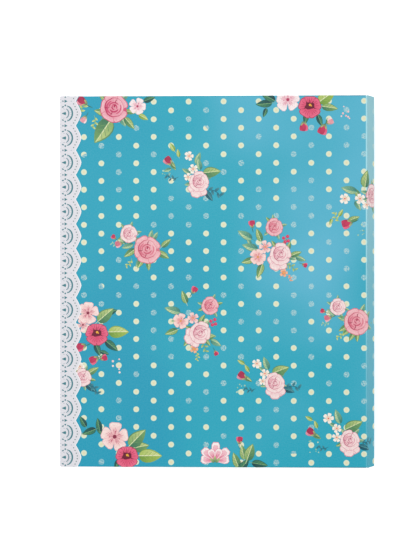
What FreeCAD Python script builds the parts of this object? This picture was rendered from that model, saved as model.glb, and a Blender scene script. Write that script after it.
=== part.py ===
import FreeCAD, Part
import math
import os
import re

import Sketcher

# A three-ring scrapbook album lying on its back cover.  +Z is up, +Y runs to the head,
# the spine is at +X and the fore edge at -X.  The origin is under the middle of the closed case.

# Driving sizes, in millimetres and degrees: value and what it measures.
sizes = {
    "pageWidth": (216.0, "page sleeve, 8.5 in"),
    "pageLength": (279.4, "page sleeve, 11 in"),
    "endSquare": (9.3, "case beyond the pages, head and tail"),
    "foreSquare": (9.4, "case beyond the pages, fore edge"),
    "hingeSlant": (12.0, "hinge strip, crease to crease"),
    "hingeTilt": (53.0, "hinge strip from the back cover, closed"),
    "coverSlope": (1.3, "fall of the closed front cover to its fore edge"),
    "boardThick": (2.5, "greyboard"),
    "wrapThick": (0.35, "printed wrap with its glue"),
    "liningThick": (0.25, "lining paper"),
    "clothThick": (0.4, "hinge cloth"),
    "turnIn": (15.0, "wrap folded over to the inside"),
    "liningMargin": (6.0, "board edge to lining edge"),
    "creaseGap": (1.0, "crease to panel edge"),
    "stripGap": (0.3, "crease to hinge strip edge"),
    "ringRadius": (14.2, "ring centre line"),
    "wireThick": (3.0, "ring wire"),
    "ringPitch": (108.0, "ring to ring, US three-ring spacing"),
    "ringStandoff": (5.8, "ring centre line to spine lining"),
    "ringRoom": (4.9, "outside of a ring to the inside of a cover"),
    "tipGap": (0.12, "ring tip to the split plane"),
    "footBend": (2.5, "bend radius of a ring foot"),
    "footOffset": (3.2, "ring foot to the middle plane"),
    "plateWidth": (19.0, "ring plate"),
    "plateTopWidth": (11.0, "flat top of the ring plate"),
    "plateRise": (6.4, "ring plate top to spine lining"),
    "plateThick": (0.8, "ring plate steel"),
    "plateEnd": (3.0, "lever pivot to the end of the ring plate"),
    "slotWidth": (4.4, "ring slot in the plate, along the spine"),
    "slotMargin": (1.9, "end of a ring slot to the plate's edge"),
    "bladeThick": (0.8, "blade steel"),
    "bladeDepth": (2.1, "blade middle to spine lining"),
    "bladeMargin": (1.8, "blade's outer edge to the plate's edge"),
    "bladeGap": (0.15, "middle plane to a blade's inner edge"),
    "bladeEnd": (1.5, "lever pivot to the end of the blades"),
    "rivetInset": (16.0, "lever pivot to a rivet"),
    "rivetShank": (4.0, "rivet shank diameter"),
    "rivetHead": (8.0, "rivet head diameter"),
    "rivetHeadThick": (1.0, "rivet head"),
    "rivetPlay": (0.1, "rivet shank in its holes"),
    "rivetRoom": (0.6, "rivet shank to a blade"),
    "leverPivotDepth": (1.5, "lever pivot to spine lining"),
    "leverPageGap": (0.9, "end of a page to a lever arm"),
    "leverThick": (0.9, "lever steel"),
    "leverWidth": (10.0, "lever arm"),
    "leverReach": (13.0, "lever pivot to the top of its tab"),
    "leverStand": (3.5, "lever pivot to the outside of its arm"),
    "leverLip": (1.5, "turned lip at the top of the tab"),
    "leverToe": (3.2, "lever pivot to the toe under the blades"),
    "leverToeWidth": (2.4, "toe"),
    "trunnionPlay": (0.05, "radial play of a lever trunnion"),
    "sleeveThick": (1.0, "page sleeve with its insert"),
    "cardThick": (0.6, "insert card"),
    "cardPlay": (1.0, "insert card in its pocket, each side"),
    "weldWidth": (2.0, "welded sleeve edge"),
    "stripWidth": (19.0, "punched strip of a sleeve"),
    "holeEdge": (9.5, "ring to the bound edge of a page"),
    "holeInner": (8.5, "ring to the inner end of a page slot"),
    "holeOuter": (4.3, "ring to the outer end of a page slot"),
    "holeWidth": (7.0, "page slot along the page"),
    "stackInset": (2.9, "lowest page to the bottom of the ring centre line"),
    "pagePitch": (1.1, "page to page"),
    "restGap": (0.45, "lowest fore edge to the back lining"),
}
pageCount = 10
ringRows = (-1, 0, 1)

# What follows from the driving sizes.
formulas = {
    "skinThick": "2 * wrapThick + boardThick + liningThick",
    "hingeRun": "hingeSlant * cos(hingeTilt)",
    "hingeRise": "hingeSlant * sin(hingeTilt)",
    "ringDepth": "ringRadius + ringStandoff",
    "caseHeight": "pageLength + 2 * endSquare",
    "caseThick": "2 * (ringRadius + wireThick / 2 + ringRoom + skinThick)",
    "spineHeight": "caseThick - 2 * hingeRise",
    "ringReach": "ringRadius + pageWidth - holeEdge + foreSquare",
    "coverWidth": "ringReach + ringDepth + skinThick - hingeRun",
    "creaseX": "(coverWidth - hingeRun) / 2",
    "spineX": "(coverWidth + hingeRun) / 2",
    "boardTop": "wrapThick + boardThick",
    "wrapTop": "boardTop + wrapThick",
    "ringX": "spineX - skinThick - ringDepth",
    "ringZ": "caseThick / 2",
    "bladeTop": "ringDepth - bladeDepth - bladeThick / 2",
    "plateTop": "ringDepth - plateRise",
    "plateHalf": "plateWidth / 2",
    "plateTopHalf": "plateTopWidth / 2",
    "plateShoulder": "plateTop + plateHalf - plateTopHalf",
    "plateMitre": "plateThick * tan(22.5)",
    "leverX": "ringDepth - leverPivotDepth",
    "leverSpread": "pageLength / 2 + leverPageGap + leverThick - leverStand",
    "plateLength": "2 * (leverSpread + plateEnd)",
    "slotReach": "plateHalf - slotMargin",
    "bladeReach": "plateHalf - bladeMargin",
    "bladeLength": "2 * (leverSpread - bladeEnd)",
    "rivetSpread": "leverSpread - rivetInset",
    "leverPivotRadius": "leverThick",
    "notchReach": "leverWidth / 2 + leverThick",
    "footSine": "(footOffset + footBend) / (ringRadius + footBend)",
    "footAngle": "asin(footSine)",
    "footX": "ringRadius * cos(footAngle)",
    "footZ": "ringRadius * footSine",
    "bendX": "(ringRadius + footBend) * cos(footAngle)",
    "bendZ": "(ringRadius + footBend) * footSine",
    "tipAngle": "asin(tipGap / ringRadius)",
    "tipX": "-(ringRadius * cos(tipAngle))",
    "lowestDrop": "ringRadius - stackInset",
    "lowestReach": "sqrt(ringRadius ^ 2 - lowestDrop ^ 2) + pageWidth - holeEdge",
    "stackFall": "ringZ - skinThick - restGap - lowestDrop - sleeveThick / 2",
    "stackTilt": "asin(stackFall / lowestReach)",
}

# Where the panels and the page stack stand in the closed album.
flat = "rotation(vector(0; 0; 1); 0)"
overTurned = "rotation(vector(1; 0; 0); 180)"
places = {
    "back": "placement(vector(creaseX; 0; 0); %s)" % flat,
    "backHinge": "placement(vector(creaseX; 0; 0); rotation(vector(0; 1; 0); -hingeTilt))",
    "spine": "placement(vector(spineX; 0; hingeRise); rotation(vector(0; 1; 0); -90))",
    "frontHinge": "placement(vector(creaseX; 0; caseThick);"
                  " rotation(vector(0; 1; 0); hingeTilt) * %s)" % overTurned,
    "front": "placement(vector(creaseX; 0; caseThick);"
             " rotation(vector(0; 1; 0); -coverSlope) * %s)" % overTurned,
    "rings": "placement(vector(ringX; 0; ringZ); %s)" % flat,
    "ringsTurned": "placement(vector(ringX; 0; ringZ); %s)" % overTurned,
    "pages": "placement(vector(ringX; 0; ringZ); rotation(vector(0; 1; 0); -stackTilt))",
    "headLever": "placement(vector(ringX + leverX; leverSpread; ringZ); %s)" % flat,
    "tailLever": "placement(vector(ringX + leverX; -leverSpread; ringZ); %s)" % overTurned,
}


def expand(text):
    """Spell a formula out in cells of the sheet."""
    def swap(match):
        word = match.group(0)
        if word in formulas:
            return "(" + expand(formulas[word]) + ")"
        if word in sizes:
            return "Sizes." + word
        return word
    return re.sub(r"[A-Za-z]\w*", swap, str(text))


def value_of(text):
    found = sheet.evalExpression(expand(text))
    return float(getattr(found, "Value", found))


def moved_along(place, y):
    """The same placement at another distance along the spine."""
    return place.replace("ringX; 0;", f"ringX; {y};")


def tie(thing, name, text):
    thing.setExpression(name, expand(text))


def fill_sheet():
    table = doc.addObject("Spreadsheet::Sheet", "Sizes")
    for row, (name, (value, meaning)) in enumerate(sizes.items(), start=1):
        table.set(f"A{row}", meaning)
        table.set(f"B{row}", str(value))
        table.setAlias(f"B{row}", name)
    doc.recompute()
    return table


def new_body(name, place):
    body = doc.addObject("PartDesign::Body", name)
    body.Label = name
    tie(body, "Placement", place)
    return body


def new_sketch(body, name, role, offset="0"):
    """A sketch parallel to one of the body's own origin planes."""
    sketch = body.newObject("Sketcher::SketchObject", f"{body.Name}_{name}_sketch")
    base = next(item for item in body.Origin.OriginFeatures if item.Role == role)
    sketch.AttachmentSupport = [(base, "")]
    sketch.MapMode = "FlatFace"
    tie(sketch, "AttachmentOffset.Base.z", offset)
    return sketch


def pin(sketch, edge, end, x, y):
    """Hold a point of the sketch at x, y from its origin."""
    for kind, text in (("DistanceX", x), ("DistanceY", y)):
        rule = Sketcher.Constraint(kind, -1, 1, edge, end, value_of(text))
        tie(sketch, f"Constraints[{sketch.addConstraint(rule)}]", text)


def draw_outline(sketch, corners):
    """A closed outline of straight edges through the corners."""
    first = sketch.GeometryCount
    count = len(corners)
    points = [FreeCAD.Vector(value_of(x), value_of(y), 0) for x, y in corners]
    for i in range(count):
        sketch.addGeometry(Part.LineSegment(points[i], points[(i + 1) % count]), False)
    for i in range(count):
        after = first + (i + 1) % count
        sketch.addConstraint(Sketcher.Constraint("Coincident", first + i, 2, after, 1))
    for i, (x, y) in enumerate(corners):
        pin(sketch, first + i, 1, x, y)


def draw_box(sketch, x0, x1, y0, y1):
    draw_outline(sketch, [(x0, y0), (x1, y0), (x1, y1), (x0, y1)])


def draw_circle(sketch, x, y, radius):
    centre = FreeCAD.Vector(value_of(x), value_of(y), 0)
    circle = Part.Circle(centre, FreeCAD.Vector(0, 0, 1), value_of(radius))
    edge = sketch.addGeometry(circle, False)
    pin(sketch, edge, 3, x, y)
    rule = Sketcher.Constraint("Radius", edge, value_of(radius))
    tie(sketch, f"Constraints[{sketch.addConstraint(rule)}]", radius)


def draw_slot(sketch, x0, x1, y, width):
    """A round-ended slot from x0 to x1, centred on y."""
    radius = f"({width}) / 2"
    ends = (f"({x0}) + {radius}", f"({x1}) - {radius}")
    left, right = (FreeCAD.Vector(value_of(x), value_of(y), 0) for x in ends)
    size = value_of(radius)
    up = FreeCAD.Vector(0, size, 0)
    axis = FreeCAD.Vector(0, 0, 1)
    quarter = 1.5707963
    circles = [Part.Circle(centre, axis, size) for centre in (left, right)]
    first = sketch.addGeometry(Part.ArcOfCircle(circles[0], quarter, 3 * quarter), False)
    second = sketch.addGeometry(Part.ArcOfCircle(circles[1], -quarter, quarter), False)
    low = sketch.addGeometry(Part.LineSegment(left - up, right - up), False)
    high = sketch.addGeometry(Part.LineSegment(right + up, left + up), False)
    joins = ((first, 2, low, 1), (low, 2, second, 1), (second, 2, high, 1), (high, 2, first, 1))
    for join in joins:
        sketch.addConstraint(Sketcher.Constraint("Tangent", *join))
    for edge, x in ((first, ends[0]), (second, ends[1])):
        pin(sketch, edge, 3, x, y)
    rule = Sketcher.Constraint("Radius", first, size)
    tie(sketch, f"Constraints[{sketch.addConstraint(rule)}]", radius)


def pad(body, name, role, offset, length, draw):
    """Material from the sketch plane outwards along its normal."""
    sketch = new_sketch(body, name, role, offset)
    draw(sketch)
    feature = body.newObject("PartDesign::Pad", f"{body.Name}_{name}")
    feature.Profile = sketch
    tie(feature, "Length", length)
    return feature


def pocket(body, name, role, offset, length, draw):
    """A cut from the sketch plane back against its normal."""
    sketch = new_sketch(body, name, role, offset)
    draw(sketch)
    doc.recompute()
    before = body.Shape.Volume
    feature = body.newObject("PartDesign::Pocket", f"{body.Name}_{name}")
    feature.Profile = sketch
    tie(feature, "Length", length)
    doc.recompute()
    if body.Shape.Volume >= before:
        raise RuntimeError(f"{body.Label}: {name} cuts nothing")
    return feature


def repeat(body, feature, name, role, length, count):
    """The feature again, evenly spaced along one of the body's own axes."""
    axis = next(item for item in body.Origin.OriginFeatures if item.Role == role)
    pattern = body.newObject("PartDesign::LinearPattern", f"{body.Name}_{name}")
    pattern.Originals = [feature]
    pattern.Direction = (axis, [""])
    tie(pattern, "Length", length)
    pattern.Occurrences = count
    body.Tip = pattern


# Case panels.  A panel's own frame has its crease at the origin, x across the panel,
# z = 0 on the outside face and z up towards the inside of the album.

def wrap_panel(name, place, x0, x1, closed):
    """Printed paper round a board: outside face, edges and turn-ins."""
    body = new_body(name, place)
    inner0 = f"{x0} + wrapThick" if closed else x0
    window0 = f"{x0} + turnIn" if closed else x0
    pad(body, "block", "XY_Plane", "0", "wrapTop",
        lambda s: draw_box(s, x0, x1, "-caseHeight / 2", "caseHeight / 2"))
    pocket(body, "board_room", "XY_Plane", "boardTop", "boardThick",
           lambda s: draw_box(s, inner0, x1, "wrapThick - caseHeight / 2", "caseHeight / 2 - wrapThick"))
    pocket(body, "window", "XY_Plane", "wrapTop", "wrapThick",
           lambda s: draw_box(s, window0, x1, "turnIn - caseHeight / 2", "caseHeight / 2 - turnIn"))
    return body


def board_panel(name, place, x0, x1):
    body = new_body(name, place)
    pad(body, "sheet", "XY_Plane", "wrapThick", "boardThick",
        lambda s: draw_box(s, x0, x1, "wrapThick - caseHeight / 2", "caseHeight / 2 - wrapThick"))
    return body


def lining_panel(name, place, sheet_x0, window_x0, x1):
    """Lining paper, pressed down inside the turn-ins."""
    half = "caseHeight / 2"
    body = new_body(name, place)
    pad(body, "pressed", "XY_Plane", "boardTop", "wrapThick + liningThick",
        lambda s: draw_box(s, window_x0, x1, "turnIn - caseHeight / 2", "caseHeight / 2 - turnIn"))
    pad(body, "sheet", "XY_Plane", "wrapTop", "liningThick",
        lambda s: draw_box(s, sheet_x0, x1, f"liningMargin - {half}", f"{half} - liningMargin"))
    return body


def make_cover(side):
    fore = "-coverWidth"
    crease = "-creaseGap"
    place = places[side]
    wrap_panel(f"{side}_wrap", place, fore, crease, True)
    board_panel(f"{side}_board", place, f"{fore} + wrapThick", crease)
    lining_panel(f"{side}_lining", place, f"{fore} + liningMargin", f"{fore} + turnIn", crease)


def make_hinge(side):
    place = places[f"{side}Hinge"]
    layers = (("wrap", "0", "wrapThick", "0"), ("lining", "wrapThick", "clothThick", "liningMargin"))
    for layer, bottom, thick, margin in layers:
        body = new_body(f"{side}_hinge_{layer}", place)
        half = f"(caseHeight / 2 - {margin})"
        pad(body, "strip", "XY_Plane", bottom, thick,
            lambda s: draw_box(s, "stripGap", "hingeSlant - stripGap", f"-{half}", half))


def rivet_circles(diameter):
    def draw(sketch):
        for sign in ("-", ""):
            draw_circle(sketch, "spineHeight / 2", f"{sign}rivetSpread", f"({diameter}) / 2")
    return draw


def make_spine():
    low = "creaseGap"
    high = "spineHeight - creaseGap"
    place = places["spine"]
    wrap_panel("spine_wrap", place, low, high, False)
    board = board_panel("spine_board", place, low, high)
    lining = lining_panel("spine_lining", place, low, low, high)
    for body, top in ((board, "boardTop"), (lining, "skinThick")):
        pocket(body, "rivet_holes", "XY_Plane", top, "boardThick", rivet_circles("rivetShank + rivetPlay"))
    pocket(board, "rivet_sinks", "XY_Plane", "wrapThick + rivetHeadThick + rivetPlay",
           "rivetHeadThick + rivetPlay", rivet_circles("rivetHead + 2 * rivetPlay"))


# Ring mechanism.  Its frame has the ring centre at the origin, x towards the spine.

def make_plate():
    """Formed steel plate: flat top, 45 degree shoulders, flanges down to the lining."""
    body = new_body("ring_plate", places["rings"])
    outer = [("ringDepth", "plateHalf"), ("plateShoulder", "plateHalf"), ("plateTop", "plateTopHalf")]
    inner = [("plateTop + plateThick", "plateTopHalf - plateMitre"),
             ("plateShoulder + plateMitre", "plateHalf - plateThick"),
             ("ringDepth", "plateHalf - plateThick")]
    mirrored = [[(x, f"-({z})") for x, z in half] for half in (outer, inner)]
    corners = outer + mirrored[0][::-1] + mirrored[1][::-1] + inner
    pad(body, "channel", "XZ_Plane", "-plateLength / 2", "plateLength",
        lambda s: draw_outline(s, corners))

    def ring_slots(sketch):
        for row in ringRows:
            middle = f"{row} * ringPitch"
            draw_box(sketch, f"{middle} - slotWidth / 2", f"{middle} + slotWidth / 2",
                     "-slotReach", "slotReach")

    def end_notches(sketch):
        edge = "leverSpread - 2 * leverThick"
        draw_box(sketch, edge, "plateLength / 2 + leverThick", "-notchReach", "notchReach")
        draw_box(sketch, "-plateLength / 2 - leverThick", f"-({edge})", "-notchReach", "notchReach")

    def rivet_holes(sketch):
        for sign in ("-", ""):
            draw_circle(sketch, f"{sign}rivetSpread", "0", "(rivetShank + rivetPlay) / 2")

    def trunnion_holes(sketch):
        for sign in ("-", ""):
            draw_circle(sketch, "leverX", f"{sign}leverSpread", "leverPivotRadius + trunnionPlay")

    depth = "plateRise + plateThick"
    cuts = (("ring_slots", ring_slots), ("end_notches", end_notches), ("rivet_holes", rivet_holes))
    for name, draw in cuts:
        pocket(body, name, "YZ_Plane", "ringDepth", depth, draw)
    pocket(body, "trunnion_holes", "XY_Plane", "plateWidth", "2 * plateWidth", trunnion_holes)


def make_blade(name, place):
    body = new_body(name, place)
    pad(body, "strip", "YZ_Plane", "bladeTop", "bladeThick",
        lambda s: draw_box(s, "-bladeLength / 2", "bladeLength / 2", "bladeGap", "bladeReach"))
    room = "(rivetShank / 2 + rivetRoom)"

    def rivet_room(sketch):
        for sign in ("-", ""):
            middle = f"{sign}rivetSpread"
            draw_box(sketch, f"{middle} - {room}", f"{middle} + {room}", "0", room)

    pocket(body, "rivet_room", "YZ_Plane", "bladeTop + bladeThick", "bladeThick", rivet_room)


def foot_path(sketch):
    """Ring wire from its tip over the top, then bent down into the blade."""
    angles = [value_of(text) for text in ("footAngle", "180 deg - tipAngle")]
    start, stop = (math.radians(angle) for angle in angles)
    axis = FreeCAD.Vector(0, 0, 1)
    ring = Part.Circle(FreeCAD.Vector(0, 0, 0), axis, value_of("ringRadius"))
    bend_centre = FreeCAD.Vector(value_of("bendX"), value_of("bendZ"), 0)
    bend = Part.Circle(bend_centre, axis, value_of("footBend"))
    low = FreeCAD.Vector(value_of("bendX"), value_of("footOffset"), 0)
    end = FreeCAD.Vector(value_of("bladeTop"), value_of("footOffset"), 0)
    sketch.addGeometry(Part.ArcOfCircle(ring, start, stop), False)
    sketch.addGeometry(Part.ArcOfCircle(bend, start + math.pi, 1.5 * math.pi), False)
    sketch.addGeometry(Part.LineSegment(low, end), False)
    sketch.addConstraint(Sketcher.Constraint("Coincident", 0, 1, 1, 1))
    sketch.addConstraint(Sketcher.Constraint("Coincident", 1, 2, 2, 1))
    pin(sketch, 0, 3, "0", "0")
    pin(sketch, 0, 1, "footX", "footZ")
    rule = Sketcher.Constraint("DistanceY", -1, 1, 0, 2, value_of("tipGap"))
    tie(sketch, f"Constraints[{sketch.addConstraint(rule)}]", "tipGap")
    pin(sketch, 1, 3, "bendX", "bendZ")
    rule = Sketcher.Constraint("DistanceX", -1, 1, 1, 2, value_of("bendX"))
    tie(sketch, f"Constraints[{sketch.addConstraint(rule)}]", "bendX")
    pin(sketch, 2, 2, "bladeTop", "footOffset")


def make_half_ring(name, place, row):
    body = new_body(name, moved_along(place, f"{row} * ringPitch"))
    path = new_sketch(body, "path", "XZ_Plane")
    foot_path(path)
    wire = new_sketch(body, "wire", "XY_Plane", "tipGap")
    draw_circle(wire, "tipX", "0", "wireThick / 2")
    doc.recompute()
    pipe = body.newObject("PartDesign::AdditivePipe", f"{name}_pipe")
    pipe.Profile = wire
    pipe.Spine = (path, ["Edge1", "Edge2", "Edge3"])


def make_rivet(name, y):
    """Rivet through the plate, the lining and the spine board."""
    body = new_body(name, moved_along(places["rings"], y))
    head = "plateTop - rivetHeadThick"
    board_face = "ringDepth + liningThick + wrapThick + boardThick"
    profile = [(head, "0"), (head, "rivetHead / 2"), ("plateTop", "rivetHead / 2"),
               ("plateTop", "rivetShank / 2"), (f"{board_face} - rivetHeadThick", "rivetShank / 2"),
               (f"{board_face} - rivetHeadThick", "rivetHead / 2"), (board_face, "rivetHead / 2"),
               (board_face, "0")]
    sketch = new_sketch(body, "profile", "XY_Plane")
    draw_outline(sketch, profile)
    turned = body.newObject("PartDesign::Revolution", f"{name}_turned")
    turned.Profile = sketch
    turned.ReferenceAxis = (sketch, ["H_Axis"])
    turned.Angle = 360


def make_lever(name, place):
    """Booster lever: a tab outside the page ends and a toe under the blades."""
    body = new_body(name, place)
    arm_in = "leverStand - leverThick"
    top = "-leverReach"
    arm = [("leverThick", "-leverThick"), ("leverThick", "leverThick"), ("-2 * leverThick", "leverStand"),
           (f"{top} + leverThick", "leverStand"), (f"{top} + leverThick", "leverStand + leverLip"),
           (top, "leverStand + leverLip"), (top, arm_in), ("-3 * leverThick", arm_in),
           ("0", "0"), ("0", "-leverThick")]
    pad(body, "arm", "XY_Plane", "-leverWidth / 2", "leverWidth", lambda s: draw_outline(s, arm))
    pad(body, "toe", "XY_Plane", "-leverToeWidth / 2", "leverToeWidth",
        lambda s: draw_box(s, "0", "leverThick", "-leverToe", "0"))
    reach = "(plateHalf - plateThick / 4)"
    pad(body, "trunnion", "XY_Plane", f"-{reach}", f"2 * {reach}",
        lambda s: draw_circle(s, "0", "0", "leverPivotRadius"))


# Pages.  Their frame is the ring centre, turned with the stack, so the bound edge is at +x.

def page_marks(number):
    drop = f"(lowestDrop - {number - 1} * pagePitch)"
    hole = f"(-sqrt(ringRadius ^ 2 - {drop} ^ 2))"
    return drop, hole


def make_sleeve(number):
    """Clear sleeve, welded on three sides and open at the head, with three ring slots."""
    drop, hole = page_marks(number)
    body = new_body(f"page_sleeve_{number:02d}", places["pages"])
    fore = f"{hole} + holeEdge - pageWidth"
    bound = f"{hole} + holeEdge"
    pad(body, "sheet", "XY_Plane", f"-{drop} - sleeveThick / 2", "sleeveThick",
        lambda s: draw_box(s, fore, bound, "-pageLength / 2", "pageLength / 2"))
    pocket(body, "room", "XY_Plane", f"-{drop} + cardThick / 2", "cardThick",
           lambda s: draw_box(s, f"{fore} + weldWidth", f"{bound} - stripWidth",
                              "weldWidth - pageLength / 2", "pageLength / 2"))
    slot = pocket(body, "slot", "XY_Plane", f"-{drop} + sleeveThick / 2", "sleeveThick",
                  lambda s: draw_slot(s, f"{hole} - holeInner", f"{hole} + holeOuter",
                                      "-ringPitch", "holeWidth"))
    repeat(body, slot, "slots", "Y_Axis", "2 * ringPitch", len(ringRows))


def make_card(number):
    drop, hole = page_marks(number)
    body = new_body(f"page_card_{number:02d}", places["pages"])
    fore = f"{hole} + holeEdge - pageWidth + weldWidth + cardPlay"
    bound = f"{hole} + holeEdge - stripWidth - cardPlay"
    pad(body, "sheet", "XY_Plane", f"-{drop} - cardThick / 2", "cardThick",
        lambda s: draw_box(s, fore, bound, "weldWidth + cardPlay - pageLength / 2",
                           "pageLength / 2 - cardPlay"))


def check_model():
    bodies = [thing for thing in doc.Objects if thing.TypeId == "PartDesign::Body"]
    for thing in doc.Objects:
        if "Invalid" in thing.State or "Error" in thing.State:
            raise RuntimeError(f"{thing.Label} did not build: {thing.State}")
    for body in bodies:
        shape = body.Shape
        if shape.isNull() or not shape.isValid() or len(shape.Solids) != 1:
            raise RuntimeError(f"{body.Label} is not one sound solid")
    return bodies


def write_parts(bodies):
    os.makedirs("parts", exist_ok=True)
    for body in bodies:
        body.Shape.exportStep(f"parts/{body.Label}.step")
        print(f"{body.Label}: {body.Shape.Volume:.1f} mm3")


doc = FreeCAD.newDocument("ScrapbookAlbum")
sheet = fill_sheet()
make_cover("back")
make_hinge("back")
make_spine()
make_hinge("front")
make_cover("front")
make_plate()
for half, place in (("upper", places["rings"]), ("lower", places["ringsTurned"])):
    make_blade(f"{half}_blade", place)
    for row in ringRows:
        label = {-1: "tail", 0: "middle", 1: "head"}[row]
        make_half_ring(f"{half}_ring_{label}", place, row)
make_rivet("head_rivet", "rivetSpread")
make_rivet("tail_rivet", "-rivetSpread")
make_lever("head_lever", places["headLever"])
make_lever("tail_lever", places["tailLever"])
for number in range(1, pageCount + 1):
    make_sleeve(number)
    make_card(number)
doc.recompute()
write_parts(check_model())
for label in ("caseThick", "creaseX", "spineX", "hingeRise", "ringX", "ringZ", "stackTilt", "leverSpread"):
    print(label, round(value_of(label), 4))
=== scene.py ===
import math
import random

import bmesh
import bpy
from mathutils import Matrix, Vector


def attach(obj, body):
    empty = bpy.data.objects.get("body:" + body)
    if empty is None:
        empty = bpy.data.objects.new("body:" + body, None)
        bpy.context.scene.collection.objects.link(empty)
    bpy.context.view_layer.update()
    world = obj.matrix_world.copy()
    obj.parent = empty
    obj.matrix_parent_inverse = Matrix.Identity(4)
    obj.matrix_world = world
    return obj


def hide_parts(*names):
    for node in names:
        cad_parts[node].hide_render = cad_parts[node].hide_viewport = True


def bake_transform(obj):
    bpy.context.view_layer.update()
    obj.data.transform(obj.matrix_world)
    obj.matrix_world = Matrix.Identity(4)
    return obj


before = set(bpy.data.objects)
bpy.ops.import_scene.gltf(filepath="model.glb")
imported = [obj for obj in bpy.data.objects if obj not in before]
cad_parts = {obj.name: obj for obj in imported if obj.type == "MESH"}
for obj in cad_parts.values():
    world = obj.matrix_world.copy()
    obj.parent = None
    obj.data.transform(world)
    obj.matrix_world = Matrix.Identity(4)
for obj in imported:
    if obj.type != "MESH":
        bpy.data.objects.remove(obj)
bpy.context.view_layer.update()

chance = random.Random(4)
mm = 0.001

# The printed case as one sheet: u runs from the front cover's fore edge round the spine to the back
# cover's fore edge, v from the head to the tail, both in millimetres.
sheet = {
    "height": 298.0,
    "cover": 246.328,
    "strip": 12.0,
    "tilt": 53.0,
    "slope": 1.3,
    "thickness": 48.1,
    "foldX": 119.553,
    "edgeRadius": 0.9,
    "foldGap": 1.0,
    "stripGap": 0.3,
    "inset": 0.3,
}
stripRun = sheet["strip"] * math.cos(math.radians(sheet["tilt"]))
stripRise = sheet["strip"] * math.sin(math.radians(sheet["tilt"]))
spineWidth = sheet["thickness"] - 2 * stripRise
spineX = sheet["foldX"] + stripRun
slopeRun = sheet["cover"] * math.cos(math.radians(sheet["slope"]))
slopeFall = sheet["cover"] * math.sin(math.radians(sheet["slope"]))
corners = [
    (sheet["foldX"] - slopeRun, sheet["thickness"] - slopeFall),
    (sheet["foldX"], sheet["thickness"]),
    (spineX, sheet["thickness"] - stripRise),
    (spineX, stripRise),
    (sheet["foldX"], 0.0),
    (sheet["foldX"] - sheet["cover"], 0.0),
]
lengths = [sheet["cover"], sheet["strip"], spineWidth, sheet["strip"], sheet["cover"]]
folds = [sum(lengths[:count]) for count in range(1, 5)]
sheetLength = sum(lengths)


def casePoint(u, lift):
    part = sum(1 for fold in folds if u > fold)
    start = sum(lengths[:part])
    (x0, z0), (x1, z1) = corners[part], corners[part + 1]
    alongX = (x1 - x0) / lengths[part]
    alongZ = (z1 - z0) / lengths[part]
    reach = u - start
    lift -= sheet["inset"]
    return x0 + alongX * reach - alongZ * lift, z0 + alongZ * reach + alongX * lift


def foldedEdge(distance, lift):
    # distance past the start of a rounded edge; returns how far out and how far down the surface lies
    radius = sheet["edgeRadius"]
    if distance <= 0:
        return distance, lift
    angle = min(distance / radius, math.pi / 2)
    down = max(0.0, distance - radius * math.pi / 2)
    return (radius + lift) * math.sin(angle), (radius + lift) * math.cos(angle) - radius - down


def placeOnCase(u, v, lift=0.0, wraps=False):
    y = sheet["height"] / 2 - v
    if wraps:
        bend = sheet["edgeRadius"] + sheet["inset"]
        if u < sheetLength / 2:
            out, lift = foldedEdge(bend - u, lift)
            u = bend - out
        else:
            out, lift = foldedEdge(u - sheetLength + bend, lift)
            u = sheetLength - bend + out
        side = 1 if y > 0 else -1
        out, lift = foldedEdge(abs(y) - sheet["height"] / 2 + bend, lift)
        y = side * (sheet["height"] / 2 - bend + out)
    x, z = casePoint(u, lift)
    return Vector((x * mm, y * mm, z * mm))


# Materials
def linear(hexText):
    channels = [int(hexText[at:at + 2], 16) / 255 for at in (1, 3, 5)]
    return tuple(c / 12.92 if c <= 0.04045 else ((c + 0.055) / 1.055) ** 2.4 for c in channels) + (1.0,)


def addNode(tree, kind, inputs=None, **settings):
    node = tree.nodes.new(kind)
    for key, value in settings.items():
        setattr(node, key, value)
    for socket, value in (inputs or {}).items():
        if isinstance(value, bpy.types.NodeSocket):
            tree.links.new(value, node.inputs[socket])
        else:
            node.inputs[socket].default_value = value
    return node


def calc(tree, operation, *values):
    return addNode(tree, "ShaderNodeMath", dict(enumerate(values)), operation=operation).outputs[0]


def total(tree, value, *others):
    for other in others:
        value = calc(tree, "ADD", value, other)
    return value


def swing(tree, value, amount):
    # a noise value made to swing about zero
    return calc(tree, "MULTIPLY", calc(tree, "SUBTRACT", value, 0.5), amount)


def blendColour(tree, factor, first, second):
    return addNode(tree, "ShaderNodeMix", {0: factor, 6: first, 7: second}, data_type="RGBA").outputs[2]


def ramp(tree, value, low, high, bottom=0.0, top=1.0):
    inputs = {0: value, 1: low, 2: high, 3: bottom, 4: top}
    return addNode(tree, "ShaderNodeMapRange", inputs, interpolation_type="SMOOTHSTEP").outputs[0]


def noise(tree, where, scale, detail=2.0, rough=0.5):
    inputs = {"Vector": where, "Scale": scale, "Detail": detail, "Roughness": rough}
    return addNode(tree, "ShaderNodeTexNoise", inputs).outputs[0]


def startMaterial(name, constants):
    material = bpy.data.materials.new(name)
    material.use_nodes = True
    tree = material.node_tree
    tree.nodes.clear()
    shader = addNode(tree, "ShaderNodeBsdfPrincipled", constants)
    addNode(tree, "ShaderNodeOutputMaterial", {"Surface": shader.outputs[0]})
    return material, tree, shader


def dull(rough, specular=0.2):
    return {"Roughness": rough, "Specular IOR Level": specular}


def setColour(tree, shader, colour):
    tree.links.new(colour, shader.inputs["Base Color"])


def inMillimetres(tree, source):
    # pattern space in millimetres
    inputs = {0: source, 1: (1 / mm,) * 3}
    return addNode(tree, "ShaderNodeVectorMath", inputs, operation="MULTIPLY").outputs[0]


def objectSpace(tree):
    return inMillimetres(tree, addNode(tree, "ShaderNodeTexCoord").outputs["Object"])


def sheetSpace(tree):
    return inMillimetres(tree, addNode(tree, "ShaderNodeUVMap", uv_map="sheet").outputs[0])


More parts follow.
